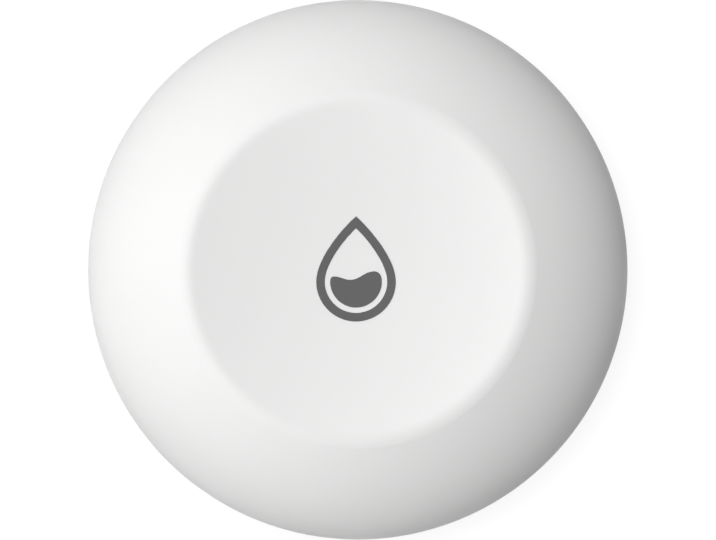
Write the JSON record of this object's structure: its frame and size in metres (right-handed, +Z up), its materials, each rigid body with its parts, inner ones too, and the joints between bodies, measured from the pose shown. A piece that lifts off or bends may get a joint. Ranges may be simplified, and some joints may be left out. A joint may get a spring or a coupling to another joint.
{
  "type": "water leak sensor",
  "caption": "Small sealed puck that lies on a floor, senses water between contact probes under it and radios an alarm; dished top with a printed drop, pressed as a button.",
  "frame": {"origin": "centre of the body on the surface it stands on", "axes": "+Z up through the dish, +Y towards the tip of the printed drop, +X along the line of the probes"},
  "size_m": [0.05, 0.05, 0.015],
  "materials": {
    "shell_white": "fine satin texture",
    "print_grey": "pad-printed ink",
    "seal_black": "smooth",
    "foot_grey": "matt",
    "pad_silicone": "smooth",
    "probe_nickel": "nickel plated",
    "screw_steel": "zinc plated",
    "nut_brass": "turned",
    "spring_bronze": "phosphor bronze strip",
    "cell_steel": "polished sheet",
    "cell_gasket": "translucent nylon",
    "cell_core": "pressed powder",
    "board_mask": "solder mask",
    "chip_black": "moulded",
    "chip_ceramic": "ceramic",
    "can_metal": "tinned",
    "led_white": "phosphor in a white frame",
    "guide_clear": "clear acrylic"
  },
  "bodies": {
    "housing": {"base_shell": "shell_white", "battery_negative_contact": "spring_bronze", "battery_positive_contact_1": "spring_bronze", "battery_positive_contact_2": "spring_bronze", "board_screws": "screw_steel", "capacitors": "chip_ceramic", "chip_antenna": "chip_ceramic", "circuit_board": "board_mask", "crystal": "can_metal", "drop_symbol": "print_grey", "housing_screws": "screw_steel", "housing_seal": "seal_black", "light_guide": "guide_clear", "probe_nuts": "nut_brass", "probe_pin_left": "probe_nickel", "probe_pin_right": "probe_nickel", "probe_seal_left": "seal_black", "probe_seal_right": "seal_black", "probe_spring_left": "spring_bronze", "probe_spring_right": "spring_bronze", "radio_chip": "chip_black", "regulator": "chip_black", "resistors": "chip_black", "rubber_foot_1": "foot_grey", "rubber_foot_2": "foot_grey", "rubber_foot_3": "foot_grey", "sensing_chip": "chip_black", "sensing_chip_leads": "can_metal", "status_led": "led_white", "switch_body": "chip_black", "switch_dome": "can_metal", "switch_plate": "can_metal", "switch_terminals": "can_metal", "top_shell": "shell_white"},
    "cell": {"battery_can": "cell_steel", "battery_cap": "cell_steel", "battery_gasket": "cell_gasket", "battery_core": "cell_core"},
    "battery_cover": {"battery_cover": "shell_white", "battery_cover_seal": "seal_black"},
    "switch_button": {"switch_stem": "chip_black", "press_pad": "pad_silicone"}
  },
  "joints": [
    {"name": "battery_drop", "type": "slide", "parent": "housing", "child": "cell", "axis": [0, 0, -1], "range_m": [0, 0.006]},
    {"name": "cover_twist", "type": "hinge", "parent": "cell", "child": "battery_cover", "pos_m": [0, 0, 0.0014], "axis": [0, 0, -1], "range_deg": [0, 240]},
    {"name": "switch_press", "type": "slide", "parent": "housing", "child": "switch_button", "axis": [0, 0, -1], "range_m": [0, 0.00025], "stiffness_N_per_m": 4000, "deforming": ["switch_dome"]}
  ],
  "couplings": [
    {"joint": "battery_drop", "follows": "cover_twist", "m_per_rad": 0.0014323}
  ]
}
